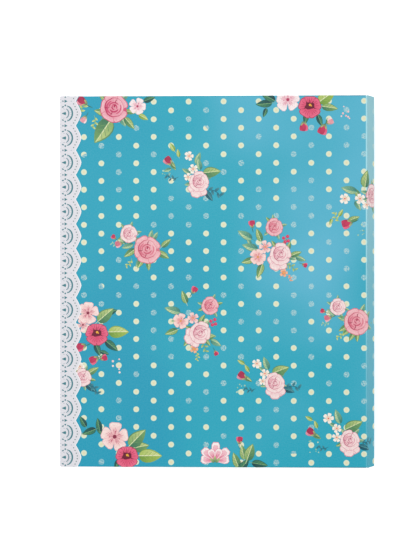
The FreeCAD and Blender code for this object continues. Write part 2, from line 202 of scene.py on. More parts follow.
def bumped(tree, shader, height, depth, strength):
    inputs = {"Height": height, "Distance": depth * mm, "Strength": strength}
    tree.links.new(addNode(tree, "ShaderNodeBump", inputs).outputs[0], shader.inputs["Normal"])


ground = {
    # deep, clear and pale: the teal ground from darker to lighter, blended as painted light across the cover
    "deep": "#009AB9",
    "clear": "#12A5BD",
    "pale": "#5AB6D2",
    # painted sheen: paler teal of the hinge strip, where it catches the light
    "strip": "#92CBD6",
    # painted highlight along the front crease
    "fold": "#B4E6EE",
    "dotRim": "#DFEACC",
    "dotHeart": "#E8DAB6",
    "foil": "#BEDDDF",
    "dotStart": 19.6,
    "dotStep": 28.0,
    "dotPitch": 14.08,
    "dotFirst": 5.0,
    "dotSecond": 12.04,
    "dotRadius": 2.3,
    "dotEdge": 0.2,
    "foilShare": 0.34,
    "foilClump": (0.02, 1.2),
    "foilScratch": (1.1, 0.42, 0.56),
    "acrossShare": 0.55,
    "headShare": 0.25,
    "wash": (0.011, 0.9),
    "grain": (0.9, 0.08),
    "grainTint": "#9AD3E0",
    "wobble": (0.7, 0.5),
    "creaseHighlightMiddle": 0.75,
}
inked = {key: linear(value) for key, value in ground.items() if isinstance(value, str)}
tooth = {"specular": 0.22, "scale": 2.2, "depth": 0.02, "strength": 0.35}


def dotLattice(tree, u, v, startU, startV):
    # distance to the nearest dot of one lattice, and a vector that is the same over each dot
    cellU = calc(tree, "DIVIDE", calc(tree, "SUBTRACT", u, startU), ground["dotStep"])
    cellV = calc(tree, "DIVIDE", calc(tree, "SUBTRACT", v, startV), ground["dotPitch"])
    nearU = calc(tree, "ROUND", cellU)
    nearV = calc(tree, "ROUND", cellV)
    offU = calc(tree, "MULTIPLY", calc(tree, "SUBTRACT", cellU, nearU), ground["dotStep"])
    offV = calc(tree, "MULTIPLY", calc(tree, "SUBTRACT", cellV, nearV), ground["dotPitch"])
    squares = calc(tree, "ADD", calc(tree, "MULTIPLY", offU, offU), calc(tree, "MULTIPLY", offV, offV))
    cell = addNode(tree, "ShaderNodeCombineXYZ", {0: nearU, 1: nearV, 2: startU}).outputs[0]
    return calc(tree, "SQRT", squares), addNode(tree, "ShaderNodeTexWhiteNoise", {"Vector": cell}).outputs[0]


def paperTooth(tree, shader, where):
    fibre = noise(tree, where, tooth["scale"], 3.0, 0.6)
    bumped(tree, shader, fibre, tooth["depth"], tooth["strength"])


def addDots(tree, base, where, u, v, across):
    # two lattices of dots, each dot either whole or scratched and pale
    wobble = swing(tree, noise(tree, where, ground["wobble"][0]), ground["wobble"][1])
    for startU, startV in (
        (ground["dotStart"], ground["dotFirst"]),
        (ground["dotStart"] + ground["dotStep"] / 2, ground["dotSecond"]),
    ):
        distance, luck = dotLattice(tree, u, v, startU, startV)
        distance = calc(tree, "ADD", distance, wobble)
        outer, inner = ground["dotRadius"] + ground["dotEdge"], ground["dotRadius"] - ground["dotEdge"]
        ink = ramp(tree, distance, outer, inner)
        clump = swing(tree, noise(tree, where, ground["foilClump"][0]), ground["foilClump"][1])
        threshold = total(tree, clump, ground["foilShare"], calc(tree, "MULTIPLY", across, 0.08))
        broken = calc(tree, "LESS_THAN", luck, threshold)
        scale, bare, full = ground["foilScratch"]
        scratch = ramp(tree, noise(tree, where, scale, 3.0, 0.8), bare, full)
        lost = calc(tree, "MULTIPLY", broken, calc(tree, "SUBTRACT", 1.0, scratch))
        faded = calc(tree, "SUBTRACT", 1.0, calc(tree, "MULTIPLY", broken, 0.2))
        keep = calc(tree, "MULTIPLY", calc(tree, "SUBTRACT", 1.0, lost), faded)
        dot = blendColour(tree, ramp(tree, distance, 0.2, 1.7), inked["dotHeart"], inked["dotRim"])
        dot = blendColour(tree, calc(tree, "MULTIPLY", broken, 0.75), dot, inked["foil"])
        base = blendColour(tree, calc(tree, "MULTIPLY", ink, keep), base, dot)
    return base


def printedPaper():
    # satin printed cover paper over greyboard: even teal print with cream dots, some of them broken; the
    # ground is painted lighter toward the spine and the head, the hinge strip gets a paler painted sheen and
    # the front crease a painted highlight
    satin = dull(0.44, tooth["specular"])
    material, tree, shader = startMaterial("satin printed paper", satin)
    where = sheetSpace(tree)
    parts = addNode(tree, "ShaderNodeSeparateXYZ", {0: where})
    u, v = parts.outputs[0], parts.outputs[1]
    across = ramp(tree, u, 0.0, 240.0)
    headward = ramp(tree, v, 300.0, 40.0)
    # painted light: the teal ground is painted lighter toward the spine and the head, on top of an uneven
    # random wash
    washAndPaintedLight = total(
        tree,
        calc(tree, "MULTIPLY", across, ground["acrossShare"]),
        calc(tree, "MULTIPLY", headward, ground["headShare"]),
        swing(tree, noise(tree, where, ground["wash"][0], 1.0), ground["wash"][1]),
    )
    base = blendColour(tree, ramp(tree, washAndPaintedLight, 0.0, 0.45), inked["deep"], inked["clear"])
    base = blendColour(tree, ramp(tree, washAndPaintedLight, 0.4, 0.95), base, inked["pale"])
    pastFold = ramp(tree, u, folds[0] - 0.4, folds[0])
    beforeSpine = ramp(tree, u, folds[1] + 1, folds[1])
    onStrip = calc(tree, "MULTIPLY", pastFold, beforeSpine)
    # painted sheen: the hinge strip is painted paler than the cover, most of all toward the head
    stripSheen = calc(tree, "MULTIPLY", onStrip, ramp(tree, v, sheet["height"], 0.0, 0.05, 0.98))
    base = blendColour(tree, stripSheen, base, inked["strip"])
    grain = noise(tree, where, ground["grain"][0], 3.0, 0.7)
    base = blendColour(tree, ramp(tree, grain, 0.3, 0.7, 0.0, ground["grain"][1]), base, inked["grainTint"])
    base = addDots(tree, base, where, u, v, across)
    # painted highlight: a pale line painted along the front crease, strongest toward the head
    fromFold = calc(tree, "ABSOLUTE", calc(tree, "SUBTRACT", u, folds[0] - ground["creaseHighlightMiddle"]))
    creaseHighlight = calc(tree, "MULTIPLY", ramp(tree, fromFold, 0.85, 0.3), ramp(tree, v, 290.0, 60.0, 0.15, 0.85))
    setColour(tree, shader, blendColour(tree, creaseHighlight, base, inked["fold"]))
    paperTooth(tree, shader, where)
    return material


def inkMaterial(name, rough, mottle):
    # printing ink on the same satin paper, its colour carried by the piece
    material, tree, shader = startMaterial(name, dull(rough, tooth["specular"]))
    where = sheetSpace(tree)
    tint = addNode(tree, "ShaderNodeVertexColor", layer_name="tint").outputs[0]
    speck = ramp(tree, noise(tree, where, 0.8, 4.0, 0.75), 0.3, 0.7, 1 - mottle, 1 + mottle * 0.4)
    shade = addNode(tree, "ShaderNodeVectorMath", {0: tint, 3: speck}, operation="SCALE").outputs[0]
    setColour(tree, shader, shade)
    paperTooth(tree, shader, where)
    return material


uncoated = {"scale": 0.55, "depth": 0.04, "strength": 0.4}


def paperMaterial(name, colour, fleck, rough):
    # uncoated paper or board with a soft fibre
    material, tree, shader = startMaterial(name, dull(rough))
    fibre = noise(tree, objectSpace(tree), uncoated["scale"], 4.0, 0.65)
    setColour(tree, shader, blendColour(tree, ramp(tree, fibre, 0.35, 0.7), linear(colour), linear(fleck)))
    bumped(tree, shader, fibre, uncoated["depth"], uncoated["strength"])
    return material


cardLayout = {
    "middleX": -4.0,
    "matHalfX": 78.0,
    "matHalfY": 104.0,
    "ruleInset": 3.0,
    "line": 0.9,
    "step": 9.0,
    "mat": "#FBF8F1",
}


def cardMaterial(name, colour, accent, striped):
    # printed page card: a plain mat for pictures in a ruled frame, stripes or dots round it
    material, tree, shader = startMaterial(name, dull(0.7))
    where = objectSpace(tree)
    parts = addNode(tree, "ShaderNodeSeparateXYZ", {0: where})
    x, y = calc(tree, "SUBTRACT", parts.outputs[0], cardLayout["middleX"]), parts.outputs[1]
    outX = calc(tree, "SUBTRACT", calc(tree, "ABSOLUTE", x), cardLayout["matHalfX"])
    outY = calc(tree, "SUBTRACT", calc(tree, "ABSOLUTE", y), cardLayout["matHalfY"])
    out = calc(tree, "MAXIMUM", outX, outY)
    waveX = calc(tree, "COSINE", calc(tree, "MULTIPLY", x, 2 * math.pi / cardLayout["step"]))
    waveY = calc(tree, "COSINE", calc(tree, "MULTIPLY", y, 2 * math.pi / cardLayout["step"]))
    wave = waveX if striped else calc(tree, "MULTIPLY", waveX, waveY)
    base = blendColour(tree, ramp(tree, wave, 0.45, 0.6), linear(colour), linear(accent))
    base = blendColour(tree, ramp(tree, out, 0.1, -0.1), base, linear(cardLayout["mat"]))
    rule = calc(tree, "ABSOLUTE", calc(tree, "ADD", out, cardLayout["ruleInset"]))
    ruled = ramp(tree, rule, cardLayout["line"], cardLayout["line"] - 0.3)
    setColour(tree, shader, blendColour(tree, ruled, base, linear(accent)))
    fibre = noise(tree, where, uncoated["scale"], 4.0, 0.65)
    bumped(tree, shader, fibre, uncoated["depth"], uncoated["strength"])
    return material


def metalMaterial(name, colour, rough):
    # bright nickel plate or spring steel, drawn or pressed, its polish very slightly uneven
    material, tree, shader = startMaterial(name, {"Base Color": linear(colour), "Metallic": 1.0})
    where = objectSpace(tree)
    haze = ramp(tree, noise(tree, where, 0.12, 3.0), 0.3, 0.7, rough - 0.05, rough + 0.06)
    tree.links.new(haze, shader.inputs["Roughness"])
    bumped(tree, shader, noise(tree, where, 1.5, 2.0), 0.01, 0.2)
    return material


def filmMaterial():
    # clear polypropylene film, seen through straight on and glinting where it is raised
    constants = {"Base Color": linear("#F2F6F7"), "Roughness": 0.1, "Alpha": 0.1}
    material, tree, shader = startMaterial("clear polypropylene film", constants)
    bumped(tree, shader, noise(tree, objectSpace(tree), 0.05, 2.0), 0.15, 0.3)
    return material


def clothMaterial():
    # woven book cloth on the inside of the hinges, fine over-and-under threads
    material, tree, shader = startMaterial("woven hinge cloth", {"Roughness": 0.8})
    inputs = {"Vector": objectSpace(tree), "Scale": 1.4}
    inputs.update(Color1=linear("#3C8EA0"), Color2=linear("#52A3B4"))
    weave = addNode(tree, "ShaderNodeTexChecker", inputs)
    setColour(tree, shader, weave.outputs["Color"])
    bumped(tree, shader, weave.outputs["Fac"], 0.08, 0.6)
    return material


printed = printedPaper()
flowerInk = inkMaterial("flower printing ink", 0.46, 0.16)
laceInk = inkMaterial("lace printing ink", 0.5, 0.05)
liningPaper = paperMaterial("ivory lining paper", "#EFE9DA", "#E6DECB", 0.7)
boardPaper = paperMaterial("grey binder's board", "#9C968B", "#87817A", 0.85)
cloth = clothMaterial()
nickel = metalMaterial("bright nickel plate", "#D9DADB", 0.2)
spring = metalMaterial("spring steel", "#AEB0B2", 0.33)
film = filmMaterial()
cards = [
    cardMaterial("cream card with coral stripes", "#F6EFE2", "#E9A3A0", True),
    cardMaterial("blush card with white dots", "#F2C9C8", "#FFF8F4", False),
    cardMaterial("pale teal card with white dots", "#A9D7DC", "#F7FCFB", False),
    cardMaterial("cream card with teal stripes", "#F4F0E4", "#6DB7C4", True),
]
print("materials made")


# Pieces on the printed sheet: built flat in u, v and lift, then laid on the case
def finishPiece(name, mesh, material, body=None, stands=()):
    item = bpy.data.objects.new(name, mesh)
    bpy.context.scene.collection.objects.link(item)
    mesh.materials.append(material)
    if body:
        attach(item, body)
    for node in stands:
        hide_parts(node)
    return item


sideways = 0.7


def sheetPoint(corner, facing):
    # the printed sheet runs on over the edges of a board, by the depth below its face
    u, down, lift = corner
    below = -lift
    if abs(facing.x) > sideways:
        u += math.copysign(1, facing.x) * below
    if abs(facing.y) > sideways:
        down += math.copysign(1, facing.y) * below
    return u, down


def layOnCase(name, bm, wraps=False):
    # the flat piece is held as (u, -v, lift) so that its faces look up
    bm.normal_update()
    layer = bm.loops.layers.uv.new("sheet")
    for face in bm.faces:
        for loop in face.loops:
            flatU, flatY = sheetPoint(loop.vert.co, face.normal)
            loop[layer].uv = (flatU * mm, -flatY * mm)
    for vert in bm.verts:
        u, down, lift = vert.co
        vert.co = placeOnCase(u, -down, lift, wraps)
    mesh = bpy.data.meshes.new(name)
    bm.to_mesh(mesh)
    bm.free()
    return mesh


# board and strip: how deep the panel is and how far its edges are rounded
panelSizes = {"board": (3.2, sheet["edgeRadius"]), "strip": (0.34, 0.008), "segments": 4, "nearFold": 2.0}


def coverPanel(name, start, end, thick, radius, body, stands):
    bm = bmesh.new()
    bmesh.ops.create_cube(bm, size=1.0)
    for vert in bm.verts:
        vert.co.x = start if vert.co.x < 0 else end
        vert.co.y = -sheet["inset"] if vert.co.y > 0 else sheet["inset"] - sheet["height"]
        vert.co.z = 0.0 if vert.co.z > 0 else sheet["inset"] - thick
    soft = []
    for edge in bm.edges:
        middle = (edge.verts[0].co + edge.verts[1].co) / 2
        if not any(abs(middle.x - fold) < panelSizes["nearFold"] for fold in folds):
            soft.append(edge)
    segments = panelSizes["segments"]
    made = bmesh.ops.bevel(
        bm, geom=soft, offset=radius, segments=segments, profile=0.5, affect="EDGES", material=-1
    )
    for face in made["faces"]:
        face.smooth = True
    finishPiece(name, layOnCase(name, bm), printed, body, stands)


gap, stripGap, fore = sheet["foldGap"], sheet["stripGap"], sheet["inset"]
for name, start, end, kind, body, stands in (
    ("frontCase", fore, folds[0] - gap, "board", "front_cover", ["front_wrap", "front_board"]),
    ("backCase", folds[3] + gap, sheetLength - fore, "board", "back_cover", ["back_wrap", "back_board"]),
    ("spineCase", folds[1] + gap, folds[2] - gap, "board", "spine", ["spine_wrap", "spine_board"]),
    ("frontStrip", folds[0] + stripGap, folds[1] - stripGap, "strip", "front_hinge", ["front_hinge_wrap"]),
    ("backStrip", folds[2] + stripGap, folds[3] - stripGap, "strip", "back_hinge", ["back_hinge_wrap"]),
):
    coverPanel(name, start, end, *panelSizes[kind], body, stands)

foldSizes = {"cells": (8, 40), "endRoom": 0.7, "top": -0.02, "bottom": -0.3, "overlap": 0.05}


def foldSides(part, overlap):
    # how far the bending paper reaches before and after the fold
    before, after = (gap, stripGap) if part in (0, 2) else (stripGap, gap)
    return folds[part] - (before + overlap), folds[part] + (after + overlap)


def bendBetween(item, part, overlap=0.0):
    ends = [placeOnCase(side, sheet["height"] / 2) for side in foldSides(part, overlap)]
    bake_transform(item)


def foldPiece(name, part):
    # the paper that crosses one crease, laid round the fold
    low, high = foldSides(part, foldSizes["overlap"])
    bm = bmesh.new()
    columns, rows = foldSizes["cells"]
    bmesh.ops.create_grid(bm, x_segments=columns, y_segments=rows, size=0.5)
    for vert in bm.verts:
        vert.co.x = low + (vert.co.x + 0.5) * (high - low)
        vert.co.y = (vert.co.y - 0.5) * (sheet["height"] - 2 * foldSizes["endRoom"]) - foldSizes["endRoom"]
        vert.co.z = foldSizes["top"]
    grown = bmesh.ops.extrude_face_region(bm, geom=list(bm.faces))
    for item in grown["geom"]:
        if isinstance(item, bmesh.types.BMVert):
            item.co.z = foldSizes["bottom"]
    bmesh.ops.recalc_face_normals(bm, faces=list(bm.faces))
    bendBetween(finishPiece(name, layOnCase(name, bm), printed), part, foldSizes["overlap"])


for part, name in enumerate(("frontFold", "frontSpineFold", "backSpineFold", "backFold")):
    foldPiece(name, part)
print("case built")


# Printed shapes
tones = {
    "deep": ("#A8264C", "#DE5F83", "#F7C3CB", "#C43A62"),
    "coral": ("#9A2C48", "#E78496", "#F8C6CA", "#CC5A72"),
    "pale": ("#A9566C", "#F2B9C2", "#FDEAE6", "#CF7C90"),
    "hot": ("#6E1230", "#D93B66", "#EF6F8E", "#F4B23C"),
    "pink": ("#C0506E", "#F4B3B8", "#FFEBE4", "#8A2F48"),
    "rosy": ("#C2456A", "#F08FA8", "#FFF4F2", "#D9678A"),
    "white": ("#D9678A", "#F6C9D2", "#FFF7F5", "#B83A62"),
    "blush": ("#CF6478", "#F5ADA8", "#FFE6E0", "#E8A05A"),
    "cream": ("#E9A25E", "#FBE9D8", "#FFFBF2", "#E4574F"),
    "orange": ("#D9622E", "#F39A63", "#FBC9A4", "#F2D34E"),
    "maroon": ("#5E1634", "#C2325A", "#F0A2B2", "#7FA05A"),
    "fresh": ("#6F9A3E", "#A8C25A", "#DCE3A0", "#E6EBC0"),
    "olive": ("#35745A", "#7BA864", "#CAD68C", "#DCE5B0"),
    "sage": ("#2B7C78", "#86B98F", "#DDE6B0", "#4C9A84"),
    "dark": ("#123F46", "#1F6A5E", "#5C9A63", "#7FB07C"),
    "teal": ("#0E4A57", "#17687A", "#4D97A0", "#5FA7A9"),
    "green": ("#4F9A8A", "#7FBFA4", "#BFE0C8", "#E9F2D6"),
}
inks = {name: [linear(text) for text in row] for name, row in tones.items()}
layers = {"first": 0.03, "step": 0.0005}


def mixColour(first, second, share):
    return tuple(a + (b - a) * share for a, b in zip(first, second))


def roundOutline(wide, tall, points=18):
    angles = [2 * math.pi * n / points for n in range(points)]
    return [(wide * math.cos(a), tall * math.sin(a)) for a in angles]


class Brush:
    # collects printed shapes; every new shape lies one thin layer above the last
    def __init__(self):
        self.bm = bmesh.new()
        self.tint = self.bm.verts.layers.float_color.new("tint")
        self.lift = layers["first"]

    def blob(self, outline, near, far, turn=0.0, at=(0.0, 0.0), speck=0.05):
        # outline points lie round the origin; the colour runs from near at the stem to far at the tip
        self.lift += layers["step"]
        number = len(outline)
        made = bmesh.ops.create_circle(self.bm, cap_ends=True, cap_tris=True, segments=number, radius=1.0)
        middle = Vector((sum(p[0] for p in outline), sum(p[1] for p in outline))) / number
        longest = max(max(p[0] for p in outline), 0.01)
        cosine, sine = math.cos(math.radians(turn)), math.sin(math.radians(turn))
        for vert in made["verts"]:
            if vert.co.length < 0.5:
                x, y = middle
            else:
                count = round(math.atan2(vert.co.y, vert.co.x) / (2 * math.pi) * number)
                x, y = outline[count % number]
            share = min(1.0, max(0.0, x / longest)) + chance.uniform(-speck, speck)
            colour = mixColour(near, far, min(1.0, max(0.0, share)))
            vert[self.tint] = colour
            vert.co = (at[0] + x * cosine - y * sine, at[1] + x * sine + y * cosine, self.lift)

    def line(self, points, width, colour):
        self.lift += layers["step"]
        count = len(points)
        made = bmesh.ops.create_grid(self.bm, x_segments=count - 1, y_segments=1, size=1.0)
        for vert in made["verts"]:
            index = round((vert.co.x + 1) / 2 * (count - 1))
            before = points[max(0, index - 1)]
            after = points[min(count - 1, index + 1)]
            ahead = Vector((after[0] - before[0], after[1] - before[1]))
            ahead = ahead.normalized() if ahead.length else Vector((1, 0))
            taper = 1 - 0.6 * abs(2 * index / (count - 1) - 1) ** 3
            side = width / 2 * taper * (1 if vert.co.y > 0 else -1)
            x, y = points[index]
            vert[self.tint] = colour
            vert.co = (x - ahead.y * side, y + ahead.x * side, self.lift)

    def disc(self, x, y, radius, colour, segments=8):
        self.blob(roundOutline(radius, radius, segments), colour, colour, at=(x, y), speck=0.0)


def petal(length, width, notch=0.0, full=0.7, points=14):
    outline = []
    for count in range(points):
        angle = 2 * math.pi * count / points
        x = 0.5 - 0.5 * math.cos(angle)
        spread = (1 - full) + full * x
        tip = notch * math.exp(-((angle - math.pi) ** 2) * 3)
        outline.append(((x - tip) * length, -math.sin(angle) * spread * width))
    return outline


def leafOutline(length, width, points=16):
    # rounded at the stem, drawn out to a point
    outline = []
    half = points // 2
    for count in range(points):
        x = count / half if count <= half else (points - count) / half
        x = x * x * (3 - 2 * x)
        spread = 1.75 * x ** 0.55 * (1 - x) ** 0.95
        outline.append((x * length, (-1 if count <= half else 1) * spread * width))
    return outline


def turned(x, y, turn, dx, dy):
    cosine, sine = math.cos(math.radians(turn)), math.sin(math.radians(turn))
    return x + dx * cosine - dy * sine, y + dx * sine + dy * cosine


def spoke(x, y, turn, size, shares):
    return [turned(x, y, turn, size * share, 0) for share in shares]


leafShape = {"growth": 1.1, "broadFrom": 14, "broad": 0.46, "slim": 0.37, "veins": (0.22, 0.4, 0.58)}


def paintLeaf(brush, x, y, size, tone, turn):
    dark, mid, light, vein = inks[tone]
    size *= leafShape["growth"]
    x, y = turned(x, y, turn, -size / 2, 0)
    wide = leafShape["broad"] if size > leafShape["broadFrom"] else leafShape["slim"]
    brush.blob(leafOutline(size, size * wide), dark, mid, turn, (x, y))
    half = [(px, max(py, -size * 0.01)) for px, py in leafOutline(size * 0.94, size * wide * 0.86)]
    brush.blob(half, mid, light, turn, (x, y))
    rib = [turned(x, y, turn, size * s, size * 0.02 * s) for s in (-0.2, 0.2, 0.5, 0.95)]
    brush.line(rib, size * 0.04, vein)
    for share in leafShape["veins"]:
        for side in (1, -1):
            tip = (share + 0.17, side * (0.19 - 0.16 * abs(share - 0.3)))
            ends = [turned(x, y, turn, size * share, 0), turned(x, y, turn, size * tip[0], size * tip[1])]
            brush.line(ends, size * 0.03, dark if side > 0 else mid)


def arcRound(x, y, reach, start, sweep, squash=1.0, steps=8):
    points = []
    for step in range(steps + 1):
        angle = math.radians(start + sweep * step / steps)
        points.append((x + reach * math.cos(angle), y + reach * math.sin(angle) * squash))
    return points


def broadPetal(brush, x, y, long, wide, edge, mid, light, turn):
    brush.blob(petal(long, wide, 0.0, 0.92, 18), edge, mixColour(edge, mid, 0.4), turn, (x, y))
    brush.blob(petal(long * 0.95, wide * 0.92, 0.0, 0.92, 18), mid, light, turn, (x, y), 0.08)


# petals as turn, reach and width; creases as turn and reach
skirtShape = {
    "petals": ((-34, 0.66, 0.32), (30, 0.7, 0.34), (-4, 0.78, 0.36)),
    "creases": ((-30, 0.6), (14, 0.7)),
}


def paintSkirt(brush, x, y, size, tone, turn):
    # the outer petals of a rose that droop to one side
    mid, light, line = inks[tone][1:]
    edge = mixColour(mid, line, 0.6)
    brush.blob(petal(size * 0.7, size * 0.42, 0.0, 0.8), edge, mid, turn, (x, y))
    for angle, reach, width in skirtShape["petals"]:
        broadPetal(brush, x, y, size * reach, size * width, edge, mid, light, turn + angle)
    for angle, reach in skirtShape["creases"]:
        crease = [turned(x, y, turn + angle + 12 * s, size * reach * s, 0) for s in (0.75, 0.85, 0.95)]
        brush.line(crease, size * 0.03, mixColour(mid, line, 0.4))


# petals as turn, reach and width; folds as reach, start, sweep, width and share of the line colour
roseShape = {
    "petals": ((162, 0.49, 0.44), (24, 0.49, 0.44), (230, 0.5, 0.44), (302, 0.5, 0.44), (96, 0.55, 0.38)),
    "base": 0.45,
    "cup": (0.34, 0.35),
    "inside": (0.31, 0.325),
    "folds": (
        (0.25, 100, 140, 0.07, 0.3), (0.24, 275, 100, 0.05, 0.2), (0.18, 20, 150, 0.05, 0.55),
        (0.16, 195, 130, 0.06, 0.75), (0.1, 320, 170, 0.05, 0.5), (0.07, 120, 150, 0.045, 1.0),
    ),
    "lips": (150, 215, 40),
}


def paintRose(brush, x, y, size, tone, turn):
    # broad outer petals round a deep cup of folded ones
    dark, mid, light, line = inks[tone]
    edge = mixColour(mid, line, 0.55)
    base = roundOutline(size * roseShape["base"], size * roseShape["base"])
    brush.blob(base, edge, mixColour(edge, mid, 0.6), turn, (x, y))
    for start, reach, width in roseShape["petals"]:
        angle = turn + start + chance.uniform(-8, 8)
        broadPetal(brush, x, y, size * reach, size * width, edge, mid, light, angle)
    cup = turned(x, y, turn + 90, size * 0.03, 0)
    brush.blob(roundOutline(*[size * share for share in roseShape["cup"]]), line, edge, turn + 10, cup)
    inside = turned(*cup, turn, size * 0.02, 0)
    within = roundOutline(*[size * share for share in roseShape["inside"]])
    brush.blob(within, mixColour(mid, light, 0.45), light, turn + 10, inside, 0.08)
    for reach, start, sweep, thick, share in roseShape["folds"]:
        arc = arcRound(*cup, reach * size, turn + start, sweep, 0.95)
        brush.line(arc, size * thick, mixColour(mid, line, share))
    for start in roseShape["lips"]:
        tip = turned(*cup, turn + start, size * 0.24, 0)
        brush.line(arcRound(*tip, size * 0.1, turn + start + 60, 90, 1.0, 4), size * 0.028, dark)
    brush.blob(petal(size * 0.13, size * 0.04, 0.0, 0.3), dark, line, turn + 60, cup)


blossomShape = {"broadFrom": 12, "broad": 0.31, "slim": 0.25, "heart": 0.07, "stamens": 7, "reach": 0.17}


def paintBlossom(brush, x, y, size, tone, turn):
    dark, mid, light, heart = inks[tone]
    broad = size * (blossomShape["broad"] if size > blossomShape["broadFrom"] else blossomShape["slim"])
    edge = mixColour(dark, mid, 0.45)
    for count in range(5):
        angle = turn + 72 * count + chance.uniform(-6, 6)
        long = size * chance.uniform(0.48, 0.54)
        brush.blob(petal(long, broad, 0.07, 0.8), edge, mixColour(mid, light, 0.3), angle, (x, y))
        brush.blob(petal(long * 0.95, broad * 0.92, 0.07, 0.8), mid, light, angle, (x, y), 0.12)
        for side in (-12, 0, 12):
            streak = spoke(x, y, angle + side, size, (0.08, 0.2, 0.27 + 0.05 * (side == 0)))
            brush.line(streak, size * 0.024, mixColour(mid, dark, 0.55))
    brush.disc(x, y, size * blossomShape["heart"], heart)
    for count in range(blossomShape["stamens"]):
        angle = turn + 51 * count + 20
        brush.line(spoke(x, y, angle, size, (0.04, 0.16)), size * 0.022, dark)
        brush.disc(*turned(x, y, angle, size * blossomShape["reach"], 0), size * 0.024, dark, 6)


# petals as turn, reach and width
poppyShape = {
    "petals": ((90, 0.46, 0.44), (20, 0.5, 0.38), (160, 0.5, 0.38), (235, 0.52, 0.4), (305, 0.52, 0.4)),
    "streaks": (-14, 4, 18),
    "stamens": (55, 90, 125, 200, 340),
}


def paintPoppy(brush, x, y, size, tone, turn):
    # a bowl of broad petals seen a little from the side
    dark, mid, light, heart = inks[tone]
    for start, reach, width in poppyShape["petals"]:
        angle = turn + start
        rim = petal(size * reach, size * width, 0.04, 0.85)
        brush.blob(rim, dark, mixColour(dark, mid, 0.5), angle, (x, y))
        bowl = petal(size * reach * 0.95, size * width * 0.93, 0.04, 0.85)
        brush.blob(bowl, mid, light, angle, (x, y), 0.14)
        for side in poppyShape["streaks"]:
            streak = spoke(x, y, angle + side, size, (0.2, 0.3, 0.4))
            brush.line(streak, size * 0.02, mixColour(mid, dark, 0.35))
    ring = []
    for n in range(14):
        wide, tall = 0.17 + 0.04 * (n % 3), 0.15 + 0.04 * (n % 2)
        ring.append((size * wide * math.cos(n * 0.45), size * tall * math.sin(n * 0.45)))
    brush.blob(ring, dark, dark, turn, (x, y + size * 0.03), 0.0)
    for start in poppyShape["stamens"]:
        brush.line(spoke(x, y, turn + start, size, (0.05, 0.2, 0.29)), size * 0.03, dark)
    brush.disc(x + size * 0.01, y + size * 0.07, size * 0.055, heart)
    brush.disc(x + size * 0.07, y + size * 0.03, size * 0.03, heart, 6)


def paintBud(brush, x, y, size, tone, turn):
    dark, mid, light = inks[tone][:3]
    green = inks["olive"]
    stem = [turned(x, y, turn, -size * s, size * 0.05 * math.sin(3 * s)) for s in (1.0, 0.8, 0.6, 0.4)]
    brush.line(stem, size * 0.07, green[0])
    base = turned(x, y, turn, -size * 0.5, 0)
    for angle, near, far in ((-16, dark, mid), (16, mid, light), (0, mid, mixColour(mid, dark, 0.4))):
        brush.blob(petal(size * 0.95, size * 0.24, 0.0, 0.3), near, far, turn + angle, base)
    for angle in (-30, 32):
        brush.blob(leafOutline(size * 0.5, size * 0.12, 10), green[0], green[2], turn + angle, base)


def paintTendril(brush, x, y, size, tone, turn):
    mid, light = inks[tone][1:3]
    x, y = turned(x, y, turn, -size / 2, 0)
    shares = (0, 0.18, 0.36, 0.54, 0.72, 0.9, 1)
    curve = [turned(x, y, turn, size * s, size * 0.2 * math.sin(s * 3.2)) for s in shares]
    brush.line(curve, max(0.45, size * 0.045), mid)
    for index, side in ((1, 1), (2, -1), (3, 1), (4, -1), (5, 1)):
        brush.blob(leafOutline(size * 0.34, size * 0.12, 10), mid, light, turn + side * 55, curve[index])


def paintSprinkle(brush, x, y, size, tone, turn):
    mid, light = inks[tone][1:3]
    for count in range(7):
        dx, dy = chance.uniform(-0.55, 0.55) * size, chance.uniform(-0.7, 0.7) * size
        radius = size * chance.uniform(0.06, 0.13)
        brush.disc(x + dx, y + dy, radius, mixColour(mid, light, chance.random()), 7)


def paintBerries(brush, x, y, size, tone, turn):
    mid, light = inks[tone][1:3]
    for dx, dy in ((-0.25, 0.1), (0.2, 0.28), (0.28, -0.22), (-0.08, -0.32)):
        brush.line([(x, y), (x + dx * size * 0.6, y + dy * size * 0.6)], size * 0.05, inks["olive"][1])
        brush.disc(x + dx * size, y + dy * size, size * 0.2, mid)
        brush.disc(x + dx * size + size * 0.05, y + dy * size + size * 0.05, size * 0.08, light, 6)


# petals as turn, reach and width, the outer ones first
openShape = {
    "petals": (
        (-82, 0.48, 0.2), (82, 0.48, 0.2), (-50, 0.6, 0.2), (46, 0.58, 0.2), (-3, 0.64, 0.19),
        (-24, 0.44, 0.16),
        (24, 0.42, 0.16),
    ),
    "cup": (-50, 0, 50),
}


def paintOpenflower(brush, x, y, size, tone, turn):
    # a half-open flower from the side, white-edged petals fanned out of its cup
    mid, light, line = inks[tone][1:]
    y -= size * 0.16
    for angle, reach, width in openShape["petals"]:
        long, wide, aim = size * reach, size * width, turn + angle
        brush.blob(petal(long * 1.03, wide * 1.08, 0.0, 0.8), line, mid, aim, (x, y))
        brush.blob(petal(long, wide, 0.0, 0.8), light, light, aim, (x, y))
        brush.blob(petal(long * 0.86, wide * 0.75, 0.0, 0.8), mid, mixColour(mid, light, 0.5), aim, (x, y))
        for side in (-7, 7):
            brush.line(spoke(x, y, aim + side, long, (0.2, 0.4, 0.6)), size * 0.022, line)
    stem = turned(x, y, turn, -size * 0.06, 0)
    green = inks["olive"]
    for angle in openShape["cup"]:
        brush.blob(leafOutline(size * 0.24, size * 0.08, 10), green[0], green[2], turn + angle, stem)


# leaves lie lowest, then buds and blossoms, and each rose covers what is beside it
painters = {
    "leaf": paintLeaf, "tendril": paintTendril, "sprinkle": paintSprinkle, "bud": paintBud,
    "berries": paintBerries, "blossom": paintBlossom, "openflower": paintOpenflower,
    "poppy": paintPoppy, "skirt": paintSkirt, "rose": paintRose,
}
